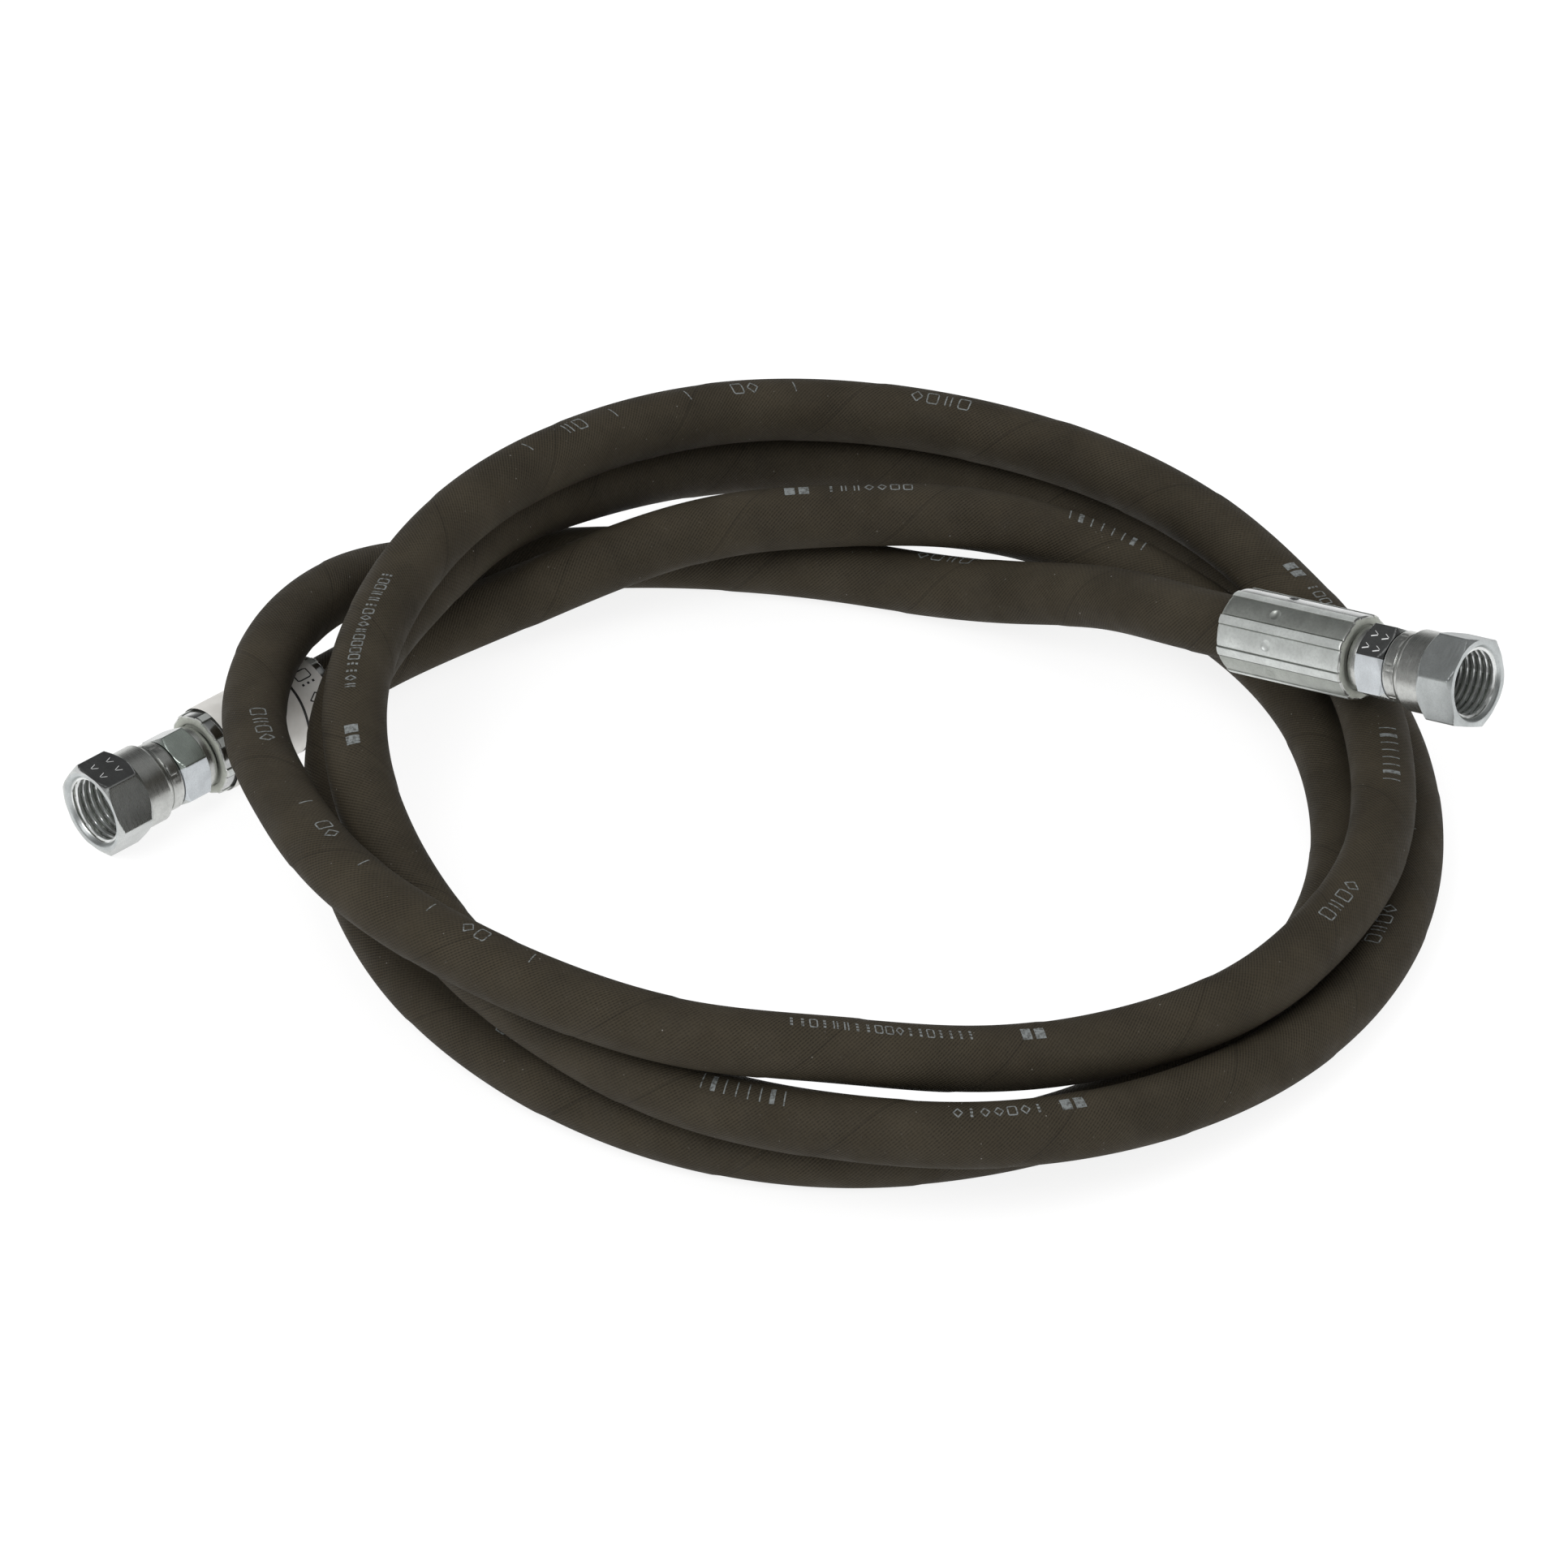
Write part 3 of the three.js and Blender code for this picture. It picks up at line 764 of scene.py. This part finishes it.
def crimped_neck(radius, along, angles):
    """Presses the marks of the crimping tool into the nut's neck, six pairs round it: two short
    notches, the second joined by a curve to the line at the neck's front."""
    turn = np.degrees(angles) % 60 - NECK_MARK["angle"]
    (first_from, first_to), (second_from, second_to) = NECK_MARK["first"], NECK_MARK["second"]
    first = np.exp(-(turn / 1.3) ** 2) * (first_from < along < first_to)
    second = np.exp(-((turn - NECK_MARK["spread"]) / 1.3) ** 2) * (second_from < along < second_to)
    in_curve = (turn > NECK_MARK["spread"]) & (turn < 30)
    bend = math.exp(-((along - NECK_MARK["curve"]) / 0.25) ** 2) * in_curve
    return radius - NECK_MARK["depth"] * np.maximum(np.maximum(first, second), bend)


def thread_radius(along, angles):
    """The right-hand internal thread: 60 degree flanks with flat crests and roots."""
    pitch = THREAD["pitch"]
    phase = (along / pitch - angles / (2 * math.pi)) % 1
    tooth = 0.5 - 0.5 * np.cos(np.pi * np.clip((np.abs(phase - 0.5) - 0.06) / 0.3, 0, 1))
    run_in = np.clip((along - THREAD["from"]) / pitch, 0, 1)
    return THREAD["crest"] + (THREAD["root"] - THREAD["crest"]) * (1 - tooth) * run_in


def make_nut(letter, end):
    angles = hexagon_angles(end["nut_turn"])
    flats = flat_slots(angles, end["nut_turn"], end["nut_flats"])
    rings = [(62.0, 8.6, TURNED), (61.9, 8.9, TURNED), (61.9, 10.6, TURNED), (62.0, 11.0, TURNED)]
    rings += [(62.25, 11.22, TURNED)]
    for along in (62.5, 62.85, 62.95, 63.35, 63.45, 64.4, 65.35, 65.45, 65.6, 65.8, 65.95, 66.05):
        rings.append((along, crimped_neck(11.3, along, angles), TURNED))
    rings += [(66.15, 11.25, TURNED), (66.22, 10.95, TURNED), (66.4, 10.95, TURNED), (66.5, 11.1, TURNED)]
    sweep = np.linspace(0.08, 1, 9) * math.pi / 2
    rings += [(66.5 + 1.9 * math.sin(t), 11.1 + 1.65 * (1 - math.cos(t)), TURNED) for t in sweep]
    turned_rings = np.arange(68.6, 76.4, 0.28)
    groove = 0.045 * (np.arange(len(turned_rings)) % 2)
    rings += [(along, 12.88 - cut, TURNED) for along, cut in zip(turned_rings, groove)]
    rings += [(76.55, 12.88, TURNED)]
    rings += hexagon_rings(NUT_HEX, angles, end["nut_turn"], flats)
    rings += [(90.2, 13.1, SATIN), (90.2, 12.25, SATIN), (90.1, 12.05, SATIN), (89.6, 11.7, SATIN)]
    # The bore at the nut's mouth is painted lighter than the turned zinc, as painted light
    rings += [(89.1, 11.3, BORE_PAINTED_LIGHT), (88.75, 11.1, BORE_PAINTED_LIGHT)]
    threads = np.arange(THREAD["to"], THREAD["from"], -THREAD["pitch"] / 14)
    for along in threads:
        radius = thread_radius(along, angles)
        # The thread roots get a darker copy of the zinc as painted shade, the crests a lighter copy as
        # painted light
        rings.append((along, radius, np.where(radius > 11.3, PAINTED_SHADE, BORE_PAINTED_LIGHT)))
    rings += [(71.5, 10.3, BORE_PAINTED_LIGHT), (65.7, 10.3, TURNED), (65.7, 8.6, TURNED)]
    piece = polar_solid(f"nut_{letter}", end, rings, angles)
    return finish_fitting(piece, f"swivel_nut_{letter}", f"nut_{letter}")


def label_ripple(along, angles):
    """How far the film stands off its mean radius, over the ferrule's ribs and with slack of its own."""
    return 0.06 * np.cos(8 * angles) + 0.03 * np.sin(3 * angles + along / 5)


def make_label(end):
    """A film wrapped round ferrule a, drawn down a little between its ribs."""
    half = math.radians(LABEL["span"] / 2)
    angles = np.linspace(math.pi / 2 - half, math.pi / 2 + half, 181)
    along = np.concatenate([[LABEL["from"]], np.linspace(3.4, 42.6, 30), [LABEL["to"]]])
    along, angles = np.meshgrid(along, angles, indexing="ij")
    ripple = label_ripple(along, angles)
    top = polar_points(end, along, LABEL["radius"] + ripple + LABEL["thickness"], angles)
    under = polar_points(end, along, LABEL["radius"] + ripple, angles)
    vertices, faces = slab([(top, under)])
    label = new_piece("label_a", vertices, faces)
    label.data.materials.append(LABEL_FILM)
    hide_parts("ferrule_label")
    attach(label, "hose")
    return label


# ---------------------------------------------------------------------------------------------
# Printed and stamped marks: strokes laid on a curved face. They stand for text without being any.
# ---------------------------------------------------------------------------------------------

MARK_WIDTH = 0.42


def stroke(points, width, closed=False):
    """A stroke along (x, y) points on the flat, as a grid of points from edge to edge."""
    points = np.array(points, float)
    if closed:
        points = np.vstack([points, points[:1]])
    spacing = np.linalg.norm(np.diff(points, axis=0), axis=1)
    at = np.concatenate([[0], np.cumsum(spacing)])
    fine = np.union1d(at, np.linspace(0, at[-1], max(2, int(at[-1] / 0.6) + 1)))
    points = np.stack([np.interp(fine, at, points[:, k]) for k in range(2)], axis=1)
    if closed:
        ahead = np.gradient(np.vstack([points[-2:-1], points, points[1:2]]), axis=0)[1:-1]
    else:
        ahead = np.gradient(points, axis=0)
    ahead /= np.linalg.norm(ahead, axis=1)[:, None]
    across = np.stack([-ahead[:, 1], ahead[:, 0]], axis=1) * width / 2
    shares = np.linspace(1, -1, max(2, int(width / 0.6) + 1))
    return points[:, None] + across[:, None] * shares[:, None]


def box_glyph(width, height):
    """A box with cut corners."""
    w, h = width / 2, height / 2
    corners = [(w, 0.7 * h), (0.8 * w, h), (-0.8 * w, h), (-w, 0.7 * h)]
    return [stroke(corners + [(-x, -y) for x, y in corners], MARK_WIDTH, closed=True)]


def diamond_glyph(width, height):
    w, h = width / 2, height / 2
    return [stroke([(w, 0), (0, h), (-w, 0), (0, -h)], MARK_WIDTH, closed=True)]


def bars_glyph(width, height):
    """Two upright bars."""
    return [stroke([(x, -height / 2), (x, height / 2)], MARK_WIDTH) for x in (-width / 4, width / 4)]


def dots_glyph(width, height):
    """Three square dots, one above another."""
    return [stroke([(-0.4, y), (0.4, y)], 0.8) for y in (-height / 2.6, 0, height / 2.6)]


def block_glyph(width, height):
    return [stroke([(-width / 2, 0), (width / 2, 0)], height)]


def shifted(strokes, x, y=0.0):
    return [edges + np.array([x, y]) for edges in strokes]


def word(length, height, pitch, seed):
    """A row of boxes, diamonds, bars and dots that reads as printing from afar."""
    chance = np.random.default_rng(seed)
    found = []
    for x in np.arange(pitch / 2, length, pitch):
        glyph = (box_glyph, diamond_glyph, bars_glyph, dots_glyph)[chance.integers(4)]
        found += shifted(glyph(pitch * 0.66, height), x)
    return found


def code_bars(length, height):
    """Eight slanted bars at even spacing, the second and the seventh of them wide."""
    widths = (0.4, 1.5, 0.4, 0.4, 0.4, 0.4, 1.5, 0.4)
    places = np.linspace(0.4, length - 0.4, 8)
    lean = 0.3
    return [
        stroke([(x - lean, -height / 2), (x + lean, height / 2)], width)
        for x, width in zip(places, widths)
    ]


def pair_of_blocks(height):
    return shifted(block_glyph(3.2, height), 2) + shifted(block_glyph(3.2, height), 6.4)


def figures(count, height, seed):
    """A short group of larger marks."""
    shapes = (diamond_glyph, box_glyph, bars_glyph, box_glyph)
    found = []
    for place in range(count):
        found += shifted(shapes[(place + seed) % 4](3.6, height), (place - (count - 1) / 2) * 5.3)
    return found


def tick(height):
    """A slanted stroke."""
    return [stroke([(0, -height / 2), (0.4, height / 2)], 0.38)]


# The layline keeps near the top of the hose and sways as the hose twists in its coil, in degrees
LAYLINE_ANGLE = 86
LAYLINE_SWAY = 10
LETTER_HEIGHT = 3.3
BLOCK_HEIGHT = 4.2
FIGURE_HEIGHT = 4.7
# The printing repeats along the hose: the length of a repeat, and where each kind of mark starts in it
PRINT_REPEAT = 749
NAME_AT = 168
CODE_AT = 257
PHRASE_AT = 460
TICKS_AT = (620, 658, 688, 726)
LONG_FIGURES_AT = (26, 345)
SHORT_FIGURES_AT = (641, 709)
# Length left unprinted at each end of the free hose
UNPRINTED_END = 90


def one_repeat(number):
    """(start, strokes) of the marks in one repeat, in millimetres along and round the hose."""
    rows = [(NAME_AT, pair_of_blocks(BLOCK_HEIGHT)), (NAME_AT + 13, word(27, LETTER_HEIGHT, 4.0, number))]
    rows.append((CODE_AT, code_bars(26, 5.6)))
    rows.append((PHRASE_AT, pair_of_blocks(BLOCK_HEIGHT)))
    rows.append((PHRASE_AT + 23, word(57, LETTER_HEIGHT, 3.2, 10 + number)))
    rows += [(start, tick(4.6)) for start in TICKS_AT]
    rows += [(start, figures(4, FIGURE_HEIGHT, 0)) for start in LONG_FIGURES_AT]
    rows += [(start, figures(2, FIGURE_HEIGHT, number + k)) for k, start in enumerate(SHORT_FIGURES_AT)]
    return rows


def layline_marks():
    """Every printed mark of the hose, clear of its two ends."""
    free_length = hose_length - 2 * HOSE_IN_FERRULE
    rows = []
    for number in range(math.ceil(free_length / PRINT_REPEAT)):
        for start, strokes in one_repeat(number):
            along = start + PRINT_REPEAT * number
            if UNPRINTED_END < along < free_length - UNPRINTED_END:
                rows.append((along, strokes))
    return rows


def on_hose(edges, start, lift):
    """Points of a stroke laid on the hose, this far above its cover."""
    along = start + edges[..., 0]
    sway = LAYLINE_SWAY * np.cos(2 * math.pi * (along - SHORT_FIGURES_AT[1]) / PRINT_REPEAT)
    angle = np.radians(LAYLINE_ANGLE + sway) + edges[..., 1] / HOSE_RADIUS
    middle, side, top = LINE.at(along)
    radius = cover_radius(along, angle) + lift
    return middle + radius[..., None] * (np.cos(angle)[..., None] * side + np.sin(angle)[..., None] * top)


def make_layline():
    grids = []
    for start, strokes in layline_marks():
        for edges in strokes:
            grids.append((on_hose(edges, start, 0.07), on_hose(edges, start, -0.12)))
    vertices, faces = slab(grids)
    marks = new_piece("layline_marks", vertices, faces)
    marks.data.materials.append(PRINT_INK)
    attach(marks, "hose")
    return marks


def make_label_marks(end):
    """A black line round the label, with a line of marks beside it that read along the fitting."""
    radius = LABEL["radius"] + LABEL["thickness"]
    half = math.radians(LABEL["span"] / 2)
    rows = [stroke([(14.3, -radius * half * 0.99), (14.3, radius * half * 0.99)], 0.9)]
    for row, degrees in enumerate(range(-126, 140, 36)):
        turned = [edges[..., ::-1] * np.array([1, -1]) for edges in word(11, 5.2, 5.4, 30 + row)]
        rows += shifted(turned, 8.2, math.radians(degrees) * radius)
        rows += shifted(block_glyph(9, 0.5), 26, math.radians(degrees) * radius)
    grids = []
    for edges in rows:
        angles = math.pi / 2 + edges[..., 1] / radius
        ripple = label_ripple(edges[..., 0], angles)
        grids.append(tuple(
            polar_points(end, edges[..., 0], radius + ripple + lift, angles) for lift in (0.03, -0.05)
        ))
    vertices, faces = slab(grids)
    marks = new_piece("label_marks", vertices, faces)
    marks.data.materials.append(LABEL_INK)
    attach(marks, "hose")
    return marks


def make_flat_stamps(letter, end, sizes, turn, width, body):
    """Paired strokes rolled into the second flat of a hexagon, coloured near white as the painted glint of
    their edges.
    """
    facing = math.radians(turn + 90)
    axis, side, top = frame_of(end)
    outward = math.cos(facing) * side + math.sin(facing) * top
    across = -math.sin(facing) * side + math.cos(facing) * top
    length = sizes["to"] - sizes["from"]
    rows = []
    for row in (0, 1):
        for column in (0, 1):
            x = sizes["from"] + length * (0.28 + 0.42 * column) + 0.5 * row
            y = 2.7 - 5.0 * row + 0.4 * column
            rows += shifted([stroke([(-1.1, 1.1), (1.0, 0.3)], width)], x, y)
            rows += shifted([stroke([(-0.8, -1.1), (1.0, 0.0)], 0.14)], x, y)
    grids = []
    for edges in rows:
        base = np.array(end["at"]) + edges[..., :1] * axis + edges[..., 1:] * across
        grids.append(tuple(base + (sizes["flats"] / 2 + lift) * outward for lift in (0.03, -0.05)))
    vertices, faces = slab(grids)
    marks = new_piece(f"stamps_{letter}", vertices, faces)
    # The strokes' near-white colour is a painted glint
    marks.data.materials.append(ZINC_PAINTED_GLINT)
    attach(marks, body)
    return marks


ends = {"a": END_A, "b": END_B}
ferrules = {letter: make_ferrule(letter, end) for letter, end in ends.items()}
stems = {letter: make_stem(letter, end) for letter, end in ends.items()}
nuts = {letter: make_nut(letter, end) for letter, end in ends.items()}
make_label(END_A)
make_label_marks(END_A)
make_layline()
make_flat_stamps("a", END_A, NUT_HEX, END_A["nut_turn"], 0.16, "nut_a")
stamps_b = make_flat_stamps("b", END_B, STEM_HEX, END_B["stem_turn"], 0.4, "hose")


# ---------------------------------------------------------------------------------------------
# Studio
# ---------------------------------------------------------------------------------------------

def make_floor():
    half = 3
    floor = bpy.data.meshes.new("floor")
    corners = [(-half, -half, 0), (half, -half, 0), (half, half, 0), (-half, half, 0)]
    floor.from_pydata(corners, [], [(0, 1, 2, 3)])
    plane = bpy.data.objects.new("floor", floor)
    bpy.context.scene.collection.objects.link(plane)
    shader = Shader("floor")
    shader.set(Base_Color=(0.22, 0.22, 0.22, 1), Roughness=0.9, Specular_IOR_Level=0.1,
               Emission_Color=(1, 1, 1, 1), Emission_Strength=0.84)
    floor.materials.append(shader.material)


def make_world():
    """White to the camera, even white light on matt faces, and for reflections a studio that is
    bright below and at the horizon, dark half way up and grey overhead."""
    world = bpy.data.worlds.new("studio")
    bpy.context.scene.world = world
    world.use_nodes = True
    tree = world.node_tree
    nodes, links = tree.nodes, tree.links
    background = nodes["Background"]
    direction = nodes.new("ShaderNodeTexCoord").outputs["Generated"]
    split = nodes.new("ShaderNodeSeparateXYZ")
    links.new(direction, split.inputs[0])
    height = nodes.new("ShaderNodeMath")
    height.operation = "MULTIPLY_ADD"
    height.inputs[1].default_value = 0.5
    height.inputs[2].default_value = 0.5
    links.new(split.outputs[2], height.inputs[0])
    ramp = nodes.new("ShaderNodeValToRGB")
    stops = (
        (0.0, 0.9), (0.46, 0.9), (0.52, 0.72), (0.59, 0.30),
        (0.69, 0.10), (0.80, 0.05), (0.87, 0.14), (1.0, 0.4),
    )
    while len(ramp.color_ramp.elements) < len(stops):
        ramp.color_ramp.elements.new(0.5)
    for element, (position, level) in zip(ramp.color_ramp.elements, stops):
        element.position = position
        element.color = (level, level * 1.01, level, 1)
    links.new(height.outputs[0], ramp.inputs[0])
    rays = nodes.new("ShaderNodeLightPath")
    mix = nodes.new("ShaderNodeMix")
    mix.data_type = "RGBA"
    mix.inputs[6].default_value = (1, 1, 1, 1)
    links.new(rays.outputs["Is Glossy Ray"], mix.inputs[0])
    links.new(ramp.outputs[0], mix.inputs[7])
    links.new(mix.outputs[2], background.inputs[0])


def make_key_light():
    data = bpy.data.lights.new("key", "AREA")
    data.shape = "DISK"
    data.size = 1.2
    data.energy = 14
    key = bpy.data.objects.new("key", data)
    place = Vector((-0.9, -0.9, 1.7))
    key.location = place
    key.rotation_euler = place.to_track_quat("Z", "Y").to_euler()
    bpy.context.scene.collection.objects.link(key)


make_floor()
make_world()
make_key_light()
bpy.context.scene.view_settings.view_transform = "Standard"
